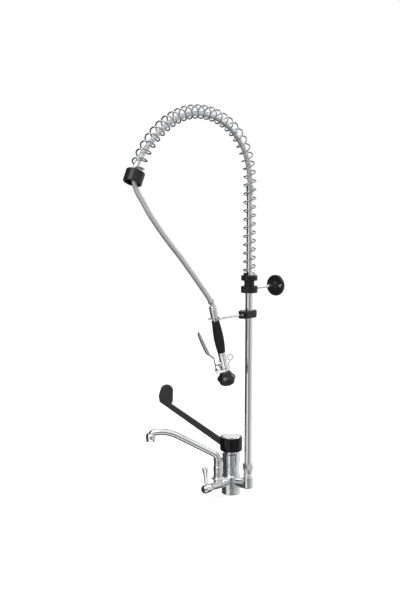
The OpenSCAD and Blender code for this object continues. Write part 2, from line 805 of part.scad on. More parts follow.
module tap_cap() {
    color(CHROME) at_tap() translate([0, 0, tap_neck_l + face_gap + tap_hub_l - cap_t])
        turned([[0, 0], [cap_r, 0], [cap_r, cap_t], [cap_r - 1, cap_t + 0.5], [0, cap_t + 1.2]]);
}

module tap_lever() {
    r = tap_lever_d / 2;
    h = tap_lever_h;
    foot = tap_hub_d / 2;
    color(CHROME) at_tap() translate([0, 0, tap_axis_l]) rotate([tap_lean - 90, 0, 0])
        turned([[0, 3], [r / 2, 3], [r / 2, foot + 2], [r * 0.56, foot + 6], [r * 0.62, h * 0.55],
            [r * 0.75, h * 0.75], [r * 0.94, h * 0.9], [r, h - 3], [r * 0.93, h - 1],
            [r * 0.7, h], [0, h]]);
}

// ---------- riser ----------

module riser_coupling() {
    r = riser_boss_r - 1;
    h = riser_coupling_h;
    color(CHROME) at_riser() difference() {
        union() {
            translate([0, 0, arm_z + 6])
                cylinder(r = riser_bore_r, h = riser_coupling_z - arm_z - 6 + eps);
            translate([0, 0, riser_coupling_z]) turned([[0, 0], [r, 0], [r, 5], [r - 1.5, 6.5],
                [r - 1.5, h - 8], [r, h - 6.5], [r, h - 2.5], [r - 1.2, h - 1.2], [r - 1.2, h],
                [0, h]]);
        }
        translate([0, 0, arm_z]) cylinder(d = column_d - 2 * column_wall - 3, h = barrel_h);
    }
}

oring_r = 0.9;
nut_lip = 6;
module riser_nut() {
    corner_r = riser_nut_w / 2 / cos(30);
    color(CHROME) at_riser() translate([0, 0, riser_nut_z]) difference() {
        intersection() {
            cylinder(r = corner_r, h = riser_nut_h, $fn = 6);
            turned([[0, 0], [corner_r - 1.5, 0], [corner_r, 1.5], [corner_r, riser_nut_h - 1.5],
                [corner_r - 1.5, riser_nut_h], [0, riser_nut_h]]);
        }
        translate([0, 0, -eps]) cylinder(d = column_d, h = riser_nut_h + 1);
        translate([0, 0, -eps]) cylinder(d = column_d + 4 * oring_r, h = riser_nut_h - nut_lip);
    }
}

module riser_oring() {
    color(RUBBER) at_riser() translate([0, 0, riser_nut_z + riser_nut_h - nut_lip - oring_r - 0.2])
        torus(column_d / 2 + oring_r, oring_r);
}

module riser_column() {
    color(CHROME) at_riser() translate([0, 0, riser_nut_z])
        pipe(column_d / 2, column_d / 2 - column_wall, column_top - riser_nut_z);
}

module inner_riser() {
    start = column_top - 20;
    color(CHROME) at_riser() translate([0, 0, start])
        pipe(inner_d / 2, inner_d / 2 - 1.5, seat_z + inner_l - start);
}

ferrule_wall = 1.5;
ferrule_grip = 14;
module riser_ferrule() {
    color(STEEL) at_riser() translate([0, 0, seat_z + inner_l]) difference() {
        translate([0, 0, -ferrule_grip])
            cylinder(r = inner_d / 2 + ferrule_wall, h = ferrule_grip + ferrule_over);
        translate([0, 0, -ferrule_grip - eps]) cylinder(d = inner_d, h = ferrule_grip + eps);
        translate([0, 0, -ferrule_grip])
            cylinder(d = inner_d - 5, h = ferrule_grip + ferrule_over + 1);
    }
}

// ---------- hook ----------

clamp_screw_d = 5;
rod_tab_r = 6.5;
rod_tab_t = 5;
hook_tab_y = hook_clamp_l / 2 + hook_clamp_shift - rod_tab_r - 0.5;
cross_screw_y = column_d / 2 + 5;
cross_seat_x = hook_clamp_w / 2 - 3;
module hook_clamp() {
    w = hook_clamp_w;
    l = hook_clamp_l;
    color(BLACK) at_riser() translate([0, 0, hook_z]) difference() {
        translate([0, -hook_clamp_shift, -hook_clamp_h / 2]) {
            translate([-w / 2, -(l - w) / 2, 0]) cube([w, l - w, hook_clamp_h]);
            for (y = [-1, 1]) translate([0, y * (l - w) / 2, 0])
                turned([[0, 0], [w / 2 - 1.5, 0], [w / 2, 1.5], [w / 2, hook_clamp_h - 1.5],
                    [w / 2 - 1.5, hook_clamp_h], [0, hook_clamp_h]]);
        }
        cylinder(d = column_d, h = 2 * hook_clamp_h, center = true);
        translate([-w, -l, -rod_tab_t / 2]) cube([2 * w, l - hook_tab_y + rod_tab_r, rod_tab_t]);
        translate([0, -hook_tab_y, 0])
            cylinder(d = clamp_screw_d, h = 2 * hook_clamp_h, center = true);
        translate([-1, 0, -hook_clamp_h]) cube([2, l, 2 * hook_clamp_h]);
        translate([0, cross_screw_y, 0]) rotate([0, -90, 0]) {
            cylinder(d = clamp_screw_d, h = 2 * w, center = true);
            translate([0, 0, cross_seat_x]) cylinder(d = 2 * clamp_screw_d, h = w);
        }
    }
}

module cap_screw(d, l) {
    cylinder(d = d, h = l);
    translate([0, 0, l]) difference() {
        cylinder(d = 1.7 * d, h = 0.8 * d);
        translate([0, 0, 0.3 * d]) cylinder(d = 0.9 * d, h = d, $fn = 6);
    }
}

module hook_clamp_screws() {
    color(STEEL) at_riser() translate([0, 0, hook_z]) {
        translate([0, -hook_tab_y, -hook_clamp_h / 2]) cap_screw(clamp_screw_d, hook_clamp_h);
        translate([cross_seat_x, cross_screw_y, 0]) rotate([0, -90, 0])
            cap_screw(clamp_screw_d, 2 * cross_seat_x);
    }
}

fork_slot = gun_tube_d + 2.5;
rod_end_y = hook_y - fork_w / 2 + 4;
module hook_rod() {
    color(CHROME) at_riser() translate([0, 0, hook_z]) difference() {
        union() {
            translate([0, -hook_tab_y, -rod_tab_t / 2]) cylinder(r = rod_tab_r, h = rod_tab_t);
            translate([0, -hook_tab_y, 0]) rotate([90, 0, 0])
                cylinder(d = hook_rod_d, h = rod_end_y - hook_tab_y);
        }
        translate([0, -hook_tab_y, 0])
            cylinder(d = clamp_screw_d, h = 2 * rod_tab_t, center = true);
        for (z = [-1, 1]) translate([-rod_tab_r, -hook_tab_y - rod_tab_r - 1, z * rod_tab_t])
            translate([0, 0, -rod_tab_t / 2]) cube([2 * rod_tab_r, 2 * rod_tab_r + 2, rod_tab_t]);
    }
}

module hook_fork() {
    r = fork_w / 2;
    color(CHROME) at_riser() translate([0, -hook_y, hook_z - fork_t / 2]) difference() {
        union() {
            cylinder(r = r, h = fork_t);
            translate([0, r - 4.5, fork_t / 2]) rotate([-90, 0, 0])
                cylinder(d = hook_rod_d + 3, h = 7);
        }
        translate([0, 0, -eps]) cylinder(d = fork_slot, h = fork_t + 1);
        translate([-fork_slot / 2, -2 * r, -eps]) cube([fork_slot, 2 * r, fork_t + 1]);
        translate([-r, -2 * r - 11, -eps]) cube([2 * r, 2 * r, fork_t + 1]);
        translate([0, hook_y - rod_end_y, fork_t / 2]) rotate([-90, 0, 0])
            cylinder(d = hook_rod_d, h = r);
        cylinder(d = fork_slot, h = 20, center = true);
    }
}

// ---------- wall bracket and spring holder ----------

module wall_clamp() {
    r = wall_clamp_d / 2;
    h = wall_clamp_h;
    boss_l = wall_boss_y - column_d / 2 - 2;
    color(BLACK) at_riser() translate([0, 0, wall_clamp_z]) difference() {
        union() {
            turned([[0, 0], [r - 1.5, 0], [r, 1.5], [r, h - 1.5], [r - 1.5, h], [0, h]]);
            translate([0, column_d / 2 + 2, h / 2 + rod_lift]) rotate([-90, 0, 0])
                turned([[0, 0], [wall_boss_r, 0], [wall_boss_r, boss_l - 1.5],
                    [wall_boss_r - 1.5, boss_l], [0, boss_l]]);
        }
        translate([0, 0, -eps]) cylinder(d = column_d, h = h + 1);
        translate([0, column_d / 2 + 1.5, h / 2 + rod_lift]) rotate([-90, 0, 0])
            cylinder(d = wall_rod_d + 2 * run_gap, h = wall_boss_y);
        translate([0, -r - 1, h / 2]) rotate([-90, 0, 0]) cylinder(d = clamp_screw_d, h = r);
        translate([0, boss_screw_y, -1]) cylinder(d = boss_screw_d, h = h / 2);
    }
}

boss_screw_d = 4;
module wall_clamp_screws() {
    r = wall_clamp_d / 2;
    h = wall_clamp_h;
    wall = wall_boss_r - wall_rod_d / 2;
    color(STEEL) at_riser() translate([0, 0, wall_clamp_z]) {
        translate([0, -column_d / 2, h / 2]) rotate([90, 0, 0])
            grub_screw(clamp_screw_d, r - column_d / 2 - 2);
        translate([0, boss_screw_y, h / 2 + rod_lift - wall_rod_d / 2 - face_gap])
            rotate([180, 0, 0]) grub_screw(boss_screw_d, wall - face_gap - 0.2);
    }
}

dome_h = 10;
dome_r = 15;
module wall_rod() {
    color(CHROME) at_riser() translate([0, rod_depth, wall_rod_z]) rotate([-90, 0, 0])
        cylinder(d = wall_rod_d, h = wall_y - 3 - rod_depth);
}

module wall_flange() {
    r = wall_flange_d / 2;
    t = wall_flange_t;
    color(BLACK) at_riser() translate([0, wall_y, wall_rod_z]) rotate([90, 0, 0]) difference() {
        union() {
            turned([[0, 0], [r, 0], [r, t - 2.5], [r - 1, t - 1], [r - 3, t], [0, t]]);
            translate([0, 0, t]) turned([[0, 0], [dome_r, 0], [dome_r - 1, dome_h * 0.4],
                [dome_r - 3.5, dome_h * 0.75], [dome_r - 7, dome_h * 0.95],
                [wall_rod_d / 2 + 1, dome_h], [0, dome_h]]);
        }
        translate([0, 0, 3]) cylinder(d = wall_rod_d, h = t + dome_h);
        for (x = [-1, 1]) translate([x * wall_hole_pitch / 2, 0, -1]) {
            cylinder(d = wall_hole_d, h = t + 2);
            translate([0, 0, t - 1]) cylinder(d1 = wall_hole_d, d2 = wall_hole_d + 6, h = 3);
        }
    }
}

lug_w = 9;
lug_h = 8;
module spring_holder() {
    r = holder_d / 2;
    fh = holder_flange_h;
    low = seat_z - fh - holder_neck_h;
    color(BLACK) at_riser() translate([0, 0, low]) difference() {
        union() {
            cylinder(d = holder_neck_d, h = holder_neck_h + 1);
            translate([0, 0, holder_neck_h]) turned([[0, 0], [r - 1.5, 0], [r, 1.5],
                [r, fh - 1.5], [r - 1.5, fh], [0, fh]]);
            intersection() {
                translate([-lug_w / 2, -coil_r - 4, holder_neck_h + fh - 1])
                    cube([lug_w, 8, lug_h + 1]);
                cylinder(r = r - 1, h = 200);
            }
        }
        translate([0, 0, -eps]) cylinder(d = column_d, h = column_top - low + eps);
        cylinder(d = inner_d, h = 200);
    }
}

// ---------- spring and hose ----------

module spring() {
    end_dir = [0, cos(arch_end[2]), sin(arch_end[2])];
    color(CHROME) skin([for (i = [0:len(wire) - 1])
        section(wire[i], heading(wire, i, [0, 0, 1], end_dir), out_dir(i),
            spring_wire / 2, wire_sides)]);
}

collar_bore_r = 12.5;
collar_recess = 12;
module spring_end_collar() {
    r = end_collar_d / 2;
    l = end_collar_l;
    color(BLACK) at_arch_end() difference() {
        turned([[0, 0], [r - 2, 0], [r, 2], [r, l - 1], [r - 1, l], [0, l]]);
        translate([0, 0, -eps]) cylinder(r = collar_bore_r, h = l + 1);
        translate([0, 0, l - collar_recess]) cylinder(r = r - 4, h = l);
        translate([0, 0, l - collar_recess - 8])
            cylinder(r1 = collar_bore_r, r2 = collar_bore_r + 5, h = 8 + eps);
    }
}

module hose() {
    color(GRAY) skin([for (i = [0:len(hose_path) - 1])
        section(hose_path[i], heading(hose_path, i, hose_first, hose_last), [1, 0, 0],
            hose_d / 2, hose_sides)]);
}

crimp_l = 8;
tail_r = 5;
tail_l = 14;
module hose_ferrule() {
    end = hose_route[len(hose_route) - 1];
    color(STEEL) {
        translate([riser_x, end[0], end[1]]) rotate([hose_end_tilt, 0, 0])
            translate([0, 0, -crimp_l]) difference() {
                turned([[0, 0], [hose_d / 2 - 1, 0], [hose_d / 2 + 1.6, 1.5],
                    [hose_d / 2 + 1.6, crimp_l - 1], [hose_d / 2 + 1, crimp_l], [0, crimp_l]]);
                translate([0, 0, -eps]) cylinder(r = tail_r - 2, h = crimp_l + 1);
            }
        at_gun() difference() {
            union() {
                translate([0, 0, -tail_l]) cylinder(r = tail_r, h = tail_l + 6);
                translate([0, 0, 6]) sphere(r = tail_r + 1.4);
            }
            translate([0, 0, -tail_l - eps]) cylinder(r = tail_r - 2, h = tail_l + 9);
        }
    }
}

// ---------- spray gun ----------

module gun_nut() {
    r = gun_nut_d / 2;
    l = gun_nut_l;
    color(CHROME) at_gun() translate([0, 0, -l]) difference() {
        turned([[0, 0], [r - 0.6, 0], [r, 0.8], [r, l - 8], [r - 0.7, l - 7.3],
            [r - 0.7, l - 6], [r, l - 5.3], [r, l - 1.2], [r - 1, l], [0, l]]);
        translate([0, 0, l - tail_l - 2]) cylinder(r = tail_r + run_gap, h = l);
        translate([0, 0, -eps]) cylinder(d = gun_tube_d, h = l - tail_l - 2 + eps);
    }
}

tube_bore_r = 4;
tube_below = 12;
module gun_tube() {
    top = -tail_l - 2;
    low = grip_bottom - tube_below;
    color(CHROME) at_gun() translate([0, 0, low])
        pipe(gun_tube_d / 2, tube_bore_r, top - low);
}

module gun_washer() {
    color(RUBBER) at_gun() translate([0, 0, grip_top])
        pipe(grip_end_d / 2 + 0.4, gun_tube_d / 2, washer_t);
}

// Radius of the grip at t, 0 at its top and 1 at its bottom
function grip_r(t) = (grip_end_d + (grip_d - grip_end_d) * sin(180 * pow(t, 1.15))) / 2;
flute_depth = 0.9;
grip_levels = 12;
function grip_ring(t) = let(n = 3 * grip_flutes, fade = min(1, 4 * sin(180 * t)))
    [for (k = [0:n - 1]) let(a = 360 * k / n, r = grip_r(t) - (k % 3 == 0 ? flute_depth * fade : 0))
        [r * cos(a), r * sin(a), grip_bottom + (1 - t) * grip_l]];
module gun_grip() {
    color(BLACK) at_gun() difference() {
        skin([for (i = [0:grip_levels]) grip_ring(1 - i / grip_levels)]);
        translate([0, 0, grip_bottom - 1]) cylinder(d = gun_tube_d, h = grip_l + 2);
    }
}

plunger_r = 3;
valve_boss_r = 9.5;
valve_boss_x = 15.5;
chamber_r = 6.3;
chamber_x = 7;
lug_r = 4.5;
ear_gap = trigger_w + 2 * face_gap;
ear_t = 2.5;
trigger_pin_r = 2;
loop_wire_r = 1.5;
loop_x = -(valve_d / 2 + 1 + 2 * loop_wire_r + loop_r);
loop_z = grip_bottom - 19;
loop_foot_x = -(valve_d / 2 + 3);
module valve_body() {
    r = valve_d / 2;
    l = valve_l;
    color(CHROME) at_gun() difference() {
        union() {
            translate([0, 0, valve_bottom]) turned([[0, 0], [r - 1, 0], [r - 1, 10],
                [r, 12], [r, l - 6], [r + 0.6, l - 5], [r + 0.6, l - 1], [r, l], [0, l]]);
            translate([0, 0, boss_h]) rotate([0, 90, 0]) turned([[0, 0], [valve_boss_r, 0],
                [valve_boss_r, valve_boss_x - 1.2], [valve_boss_r - 1.2, valve_boss_x],
                [0, valve_boss_x]]);
            for (y = [-1, 1]) translate([0, y * (ear_gap + ear_t) / 2, trigger_pivot[1]])
                rotate([90, 0, 0]) {
                    translate([trigger_pivot[0], 0, 0])
                        cylinder(r = lug_r, h = ear_t, center = true);
                    translate([trigger_pivot[0] / 2, 0, 0])
                        cube([trigger_pivot[0], 7, ear_t], center = true);
                }
            translate([-r - 5, -3, valve_bottom]) cube([r + 5, 6, 7]);
        }
        translate([0, 0, grip_bottom - tube_below]) cylinder(d = gun_tube_d, h = l);
        translate([0, 0, valve_bottom - eps]) cylinder(r = tube_bore_r, h = l);
        translate([-chamber_x, 0, boss_h]) rotate([0, 90, 0])
            cylinder(r = chamber_r, h = 2 * chamber_x);
        translate([0, 0, boss_h]) rotate([0, 90, 0])
            cylinder(r = plunger_r + run_gap, h = 2 * valve_boss_x);
        translate([trigger_pivot[0], 0, trigger_pivot[1]]) rotate([90, 0, 0])
            cylinder(r = trigger_pin_r, h = 3 * trigger_w, center = true);
        translate([loop_foot_x, 0, valve_bottom - 1]) cylinder(r = loop_wire_r, h = 9);
    }
}

plunger_end = trigger_pivot[0] - trigger_t / 2 - face_gap;
module valve_plunger() {
    color(STEEL) at_gun() translate([0, 0, boss_h]) rotate([0, 90, 0]) {
        turned([[0, 0], [plunger_r, 0], [plunger_r, plunger_end - 1], [plunger_r / 2, plunger_end],
            [0, plunger_end]]);
        translate([0, 0, chamber_x - 4]) cylinder(r = chamber_r - face_gap, h = 3);
    }
}

trigger_bend = [[trigger_pivot[0], boss_h + 2 * valve_boss_r],
    [trigger_pivot[0] + 11, grip_bottom - 2], [trigger_out, grip_bottom + grip_l * 0.735]];
cheek_t = 1.5;
cheek_corner = [-6, 7];
module trigger() {
    color(CHROME) at_gun() difference() {
        union() {
            bar(trigger_pivot, trigger_bend[0], trigger_t, trigger_w);
            bar(trigger_bend[0], trigger_bend[1], trigger_t, trigger_w);
            bar(trigger_bend[1], trigger_bend[2], trigger_t, trigger_w);
            for (y = [cheek_t - trigger_w / 2, trigger_w / 2]) translate([0, y, 0])
                rotate([90, 0, 0]) linear_extrude(cheek_t)
                    polygon([trigger_bend[1], trigger_bend[2], trigger_bend[1] + cheek_corner]);
            translate([trigger_pivot[0], 0, trigger_pivot[1]]) rotate([90, 0, 0])
                cylinder(r = lug_r - 0.5, h = trigger_w, center = true);
            translate([trigger_bend[2][0], 0, trigger_bend[2][1]]) rotate([90, 0, 0])
                cylinder(r = trigger_t * 0.8, h = trigger_w, center = true);
        }
        translate([trigger_pivot[0], 0, trigger_pivot[1]]) rotate([90, 0, 0])
            cylinder(r = trigger_pin_r + run_gap, h = 2 * trigger_w, center = true);
    }
}

module trigger_pin() {
    color(STEEL) at_gun() translate([trigger_pivot[0], 0, trigger_pivot[1]])
        rotate([90, 0, 0]) cylinder(r = trigger_pin_r, h = ear_gap + 2 * ear_t, center = true);
}

module hanging_loop() {
    ring_r = loop_r + loop_wire_r;
    low = loop_z - ring_r;
    knee_z = low - 10;
    color(CHROME) at_gun() {
        translate([loop_x, 0, loop_z]) rotate([90, 0, 0]) torus(ring_r, loop_wire_r);
        rod([loop_x, low], [loop_foot_x, knee_z], loop_wire_r - 0.1);
        translate([loop_foot_x, 0, knee_z]) sphere(r = loop_wire_r + 0.2);
        translate([loop_foot_x, 0, valve_bottom])
            cylinder(r = loop_wire_r, h = knee_z - valve_bottom);
    }
}

// ---------- spray head ----------

rim_drop = 18;
rim_h = 8.5;
face_t = 4;
face_r = 17;
bumper_h = head_h - rim_drop - rim_h;
module head_bell() {
    r = head_d / 2;
    neck = valve_d / 2 + 2.5;
    low = head_h - bumper_h + 4;
    color(BLACK) at_gun() translate([0, 0, valve_bottom]) difference() {
        turned([[0, 0], [neck, 0], [neck + 1.2, -1.2], [r - 7, -rim_drop + 7],
            [r - 3.3, -rim_drop + 2.8], [r - 0.7, -rim_drop], [r, -rim_drop - 1.6],
            [r, -rim_drop - 5], [r - 1, -rim_drop - 6.6], [r - 4.5, -rim_drop - rim_h + 0.4],
            [face_r + 3, -rim_drop - rim_h], [face_r + 3, -low], [0, -low]]);
        translate([0, 0, -low - 1]) cylinder(r = face_r, h = low - rim_drop + 3);
        translate([0, 0, -low]) cylinder(r = tube_bore_r, h = low + 1);
    }
}

module head_bumper() {
    r = head_d / 2 - 4;
    top = -rim_drop - rim_h;
    color(RUBBER) at_gun() translate([0, 0, valve_bottom]) difference() {
        turned([[0, top], [r - 1.2, top], [r, top - 1.4], [r + 0.3, top - 4],
            [r - 0.8, top - 8], [r - 2.6, -head_h + 1.6], [face_r, -head_h], [0, -head_h]]);
        translate([0, 0, -head_h - 1]) cylinder(r = face_r - 2, h = head_h);
        translate([0, 0, bumper_h - head_h - 4]) cylinder(r = face_r + 3, h = head_h);
    }
}

jet_rings = [[6, 6], [12, 12]];
module spray_face() {
    low = head_h - bumper_h + 4;
    color(GRAY) at_gun() translate([0, 0, valve_bottom - low]) difference() {
        cylinder(r = face_r, h = face_t);
        for (ring = jet_rings) for (i = [0:ring[0] - 1])
            rotate([0, 0, 360 * i / ring[0]]) translate([ring[1], 0, -1])
                cylinder(r = 0.8, h = face_t + 2, $fn = 16);
    }
}

deck_gasket();
mixer_base();
mixer_body();
cartridge_collar();
cartridge();
cartridge_nut();
cartridge_rotor();
stem_pin();
cartridge_stem();
mixer_hub();
hub_disc();
hub_grub_screw();
elbow_lever();
spout_coupling();
spout_nut();
spout_seals();
spout_tube();
aerator_housing();
aerator_insert();
tap_headwork();
tap_spindle();
tap_hub();
tap_cap();
tap_lever();
riser_coupling();
riser_nut();
riser_oring();
riser_column();
hook_clamp();
hook_clamp_screws();
hook_rod();
hook_fork();
wall_clamp();
wall_clamp_screws();
wall_rod();
wall_flange();
spring_holder();
inner_riser();
riser_ferrule();
spring();
spring_end_collar();
hose();
hose_ferrule();
gun_nut();
gun_tube();
gun_washer();
gun_grip();
valve_body();
valve_plunger();
trigger();
trigger_pin();
hanging_loop();
head_bell();
head_bumper();
spray_face();
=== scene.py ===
"""Looks of the pre rinse faucet: finishes, the wound spring, the hose, light and camera."""

import math

import bpy
from mathutils import Matrix, Vector


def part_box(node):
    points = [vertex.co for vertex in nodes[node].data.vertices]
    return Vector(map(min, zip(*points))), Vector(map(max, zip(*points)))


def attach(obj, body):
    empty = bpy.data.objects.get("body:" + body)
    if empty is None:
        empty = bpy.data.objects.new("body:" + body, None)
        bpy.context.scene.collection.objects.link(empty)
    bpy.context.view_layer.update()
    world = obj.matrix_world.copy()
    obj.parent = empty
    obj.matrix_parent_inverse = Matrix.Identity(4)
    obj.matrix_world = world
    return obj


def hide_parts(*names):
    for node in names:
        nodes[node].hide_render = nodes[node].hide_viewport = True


MM = 0.001
UP = Vector((0, 0, 1))
SHARP_ANGLE = 50

# ---------- sizes shared with the construction, in millimetres and degrees ----------

RISER_X = 65
SEAT_Z = 659
SPRING_D = 38
SPRING_WIRE = 4
SPRING_TURNS = 36
SPRING_STRAIGHT = 266
# The spring's arch over the straight part: each leg's radius and turn.
ARCH_LEGS = ((170, 62), (245, 53), (280, 40.5))
COIL_START = 155
HOSE_D = 14
HOSE_END_TILT = 42
# The hose's centre line in the riser's plane: pairs of y and z.
HOSE_ROUTE = (
    (0, 915), (-1, 939.5), (-6, 964), (-18, 996), (-36, 1024), (-59, 1047), (-86, 1067),
    (-116, 1081), (-147, 1092), (-180, 1097), (-213, 1099), (-246, 1095), (-279, 1087),
    (-310, 1075), (-334, 1062), (-355, 1047.5), (-373, 1033.5), (-389, 1019), (-405, 1004),
    (-420.5, 988), (-434.5, 971), (-446, 952), (-451.5, 931), (-449, 909.5), (-439, 890),
    (-425.5, 872.5), (-412.5, 855), (-399, 837.5), (-384.5, 821), (-354.5, 789), (-323, 758),
    (-291, 728), (-260, 697), (-235, 671), (-208, 643), (-180, 613), (-169, 600),
)
# The gun hangs down from its top, tilted about x and then turned about its own axis.
GUN_TOP = (RISER_X, -160, 585)
GUN_TILT = 16
FRONT_TURN = 222

# ---------- frame ----------

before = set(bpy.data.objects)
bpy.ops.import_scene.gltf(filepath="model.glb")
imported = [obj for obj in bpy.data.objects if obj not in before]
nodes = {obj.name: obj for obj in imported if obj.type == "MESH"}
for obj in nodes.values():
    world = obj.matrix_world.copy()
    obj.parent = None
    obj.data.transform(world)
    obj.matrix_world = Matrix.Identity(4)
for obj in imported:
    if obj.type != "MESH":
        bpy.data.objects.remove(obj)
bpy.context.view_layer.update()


# ---------- helpers ----------

def world_point(point):
    """A point in millimetres as a vector in metres."""
    return Vector(point) * MM


def new_object(name, mesh):
    """A mesh's object, linked to the scene."""
    piece = bpy.data.objects.new(name, mesh)
    bpy.context.scene.collection.objects.link(piece)
    return piece


def finish_faces(mesh):
    """Smooth shading but for edges over SHARP_ANGLE, and every face turned outward."""
    for face in mesh.polygons:
        face.use_smooth = True
    mesh.set_sharp_from_angle(angle=math.radians(SHARP_ANGLE))
    if sum(face.center.dot(face.normal) * face.area for face in mesh.polygons) < 0:
        mesh.flip_normals()


def loft(name, rings, loop=False):
    """A mesh through rings of points: a tube with two ends, or one that runs into itself."""
    count = len(rings[0])
    verts = [point for ring in rings for point in ring]
    pairs = [(i, (i + 1) % len(rings)) for i in range(len(rings) if loop else len(rings) - 1)]
    faces = [
        (i * count + k, i * count + (k + 1) % count, j * count + (k + 1) % count, j * count + k)
        for i, j in pairs
        for k in range(count)
    ]
    if not loop:
        last = (len(rings) - 1) * count
        faces.append(tuple(reversed(range(count))))
        faces.append(tuple(last + k for k in range(count)))
    mesh = bpy.data.meshes.new(name)
    mesh.from_pydata(verts, [], faces)
    mesh.update()
    finish_faces(mesh)
    return new_object(name, mesh)


def wrap_round(tube, rings):
    """Adds a map of a tube's wall: u once round it, and v along it in metres."""
    count = len(rings[0])
    along = [0.0]
    for a, b in zip(rings, rings[1:]):
        along.append(along[-1] + (sum(b, Vector()) - sum(a, Vector())).length / count)
    wall_faces = (len(rings) - 1) * count
    uv = tube.data.uv_layers.new(name="wrap")
    for face in list(tube.data.polygons)[:wall_faces]:
        i, k = divmod(face.index, count)
        corners = ((k, i), (k + 1, i), (k + 1, i + 1), (k, i + 1))
        for corner, (u, v) in zip(face.loop_indices, corners):
            uv.data[corner].uv = (u / count, along[v])


def ring_round(point, along, side, radius, sides):
    """A ring of points square to a path, its first corner towards side."""
    u = (side - along * side.dot(along)).normalized()
    v = along.cross(u)
    return [
        point + radius * (math.cos(a) * u + math.sin(a) * v)
        for a in (2 * math.pi * k / sides for k in range(sides))
    ]


def headings(path, first, last):
    """The direction of a path at each of its points, its first and last as given."""
    inner = [(path[i + 1] - path[i - 1]).normalized() for i in range(1, len(path) - 1)]
    return [first, *inner, last]


def blend_point(a, b, c, d, t):
    """A point between b and c on a smooth curve through a, b, c and d."""
    return 0.5 * (2 * b + (c - a) * t + (2 * a - 5 * b + 4 * c - d) * t ** 2
                  + (3 * b - a - 3 * c + d) * t ** 3)


def smooth_path(points, steps):
    """A smooth path through the points, with so many steps from each to the next."""
    last = len(points) - 1
    path = []
    for i in range(last):
        a, b, c, d = (points[max(0, min(last, i + k))] for k in (-1, 0, 1, 2))
        path += [blend_point(a, b, c, d, step / steps) for step in range(steps)]
    return path + [points[last]]


# ---------- materials ----------

# Height of the relief that a pattern shades, and radius of a rounded corner, in metres.
WAVE_HEIGHT = 0.002
GRAIN_HEIGHT = 0.0004
PLATED_CORNER = 0.0006
COATED_CORNER = 0.0008


def cool_gray(level, blue=0.015):
    """The faintly blue gray of plated metal."""
    return (level, level + 0.005, level + blue)


class Look:
    """A Principled material and short ways to drive it with procedural patterns."""

    def __init__(self, name, color, **sockets):
        self.material = bpy.data.materials.new(name)
        self.material.use_nodes = True
        self.tree = self.material.node_tree
        self.shader = self.tree.nodes["Principled BSDF"]
        self.shader.inputs["Base Color"].default_value = (*color, 1)
        for socket, value in sockets.items():
            self.shader.inputs[socket.replace("_", " ")].default_value = value

    def node(self, kind, **settings):
        """A new shader node, with its sockets and properties as given."""
        made = self.tree.nodes.new(kind)
        for key, value in settings.items():
            if key in made.inputs:
                made.inputs[key].default_value = value
            else:
                setattr(made, key, value)
        return made

    def link(self, source, target):
        self.tree.links.new(source, target)

    def math(self, operation, a, b=0.0):
        """The result of a sum on numbers or on other nodes' outputs."""
        made = self.tree.nodes.new("ShaderNodeMath")
        made.operation = operation
        for socket, value in zip(made.inputs, (a, b)):
            if isinstance(value, (int, float)):
                socket.default_value = value
            else:
                self.link(value, socket)
        return made.outputs[0]

    def place(self):
        """Where a point of the surface lies in its piece's own frame, in metres."""
        return self.node("ShaderNodeTexCoord").outputs["Object"]

    def noise(self, scale, detail=3.0, upright=1.0):
        """Cloudy pattern, drawn out along z where upright is under 1."""
        made = self.node("ShaderNodeTexNoise", Scale=scale, Detail=detail)
        drawn = self.node("ShaderNodeVectorMath", operation="MULTIPLY")
        drawn.inputs[1].default_value = (1, 1, upright)
        self.link(self.place(), drawn.inputs[0])
        self.link(drawn.outputs["Vector"], made.inputs["Vector"])
        return made.outputs["Fac"]

    def ramp(self, source, low, high, start=0.35, end=0.65):
        """A pattern's values from start to end, spread from low to high."""
        made = self.node("ShaderNodeMapRange")
        for key, value in (("From Min", start), ("From Max", end), ("To Min", low),
                           ("To Max", high)):
            made.inputs[key].default_value = value
        self.link(source, made.inputs["Value"])
        return made.outputs["Result"]

    def tint(self, source, dark, light):
        """Lets a pattern mix the base colour from dark at 0 to light at 1."""
        made = self.node("ShaderNodeMix", data_type="RGBA")
        colors = {"A": (*dark, 1), "B": (*light, 1)}
        for socket in made.inputs:
            if socket.type == "RGBA":
                socket.default_value = colors[socket.name]
        self.link(source, made.inputs["Factor"])
        self.link(next(s for s in made.outputs if s.type == "RGBA"),
                  self.shader.inputs["Base Color"])

    def rough(self, source):
        """Lets a pattern set the roughness."""
        self.link(source, self.shader.inputs["Roughness"])

    def bump(self, source, strength, height, corner=0.0):
        """Shades relief from a pattern, over corners that are rounded to a radius."""
        made = self.node("ShaderNodeBump", Strength=strength, Distance=height)
        self.link(source, made.inputs["Height"])
        if corner:
            rounded = self.node("ShaderNodeBevel", Radius=corner)
            self.link(rounded.outputs["Normal"], made.inputs["Normal"])
        self.link(made.outputs["Normal"], self.shader.inputs["Normal"])


def chrome(name, level=0.86, rough=(0.03, 0.07), wave=0.12, grain=38, blue=0.015):
    """Polished plate: a faint film of water marks in its gloss, and slow waves in its surface."""
    look = Look(name, cool_gray(level, blue), Metallic=1.0)
    look.rough(look.ramp(look.noise(scale=55, detail=5), *rough))
    look.bump(look.noise(grain, detail=2), wave, WAVE_HEIGHT, PLATED_CORNER)
    return look.material


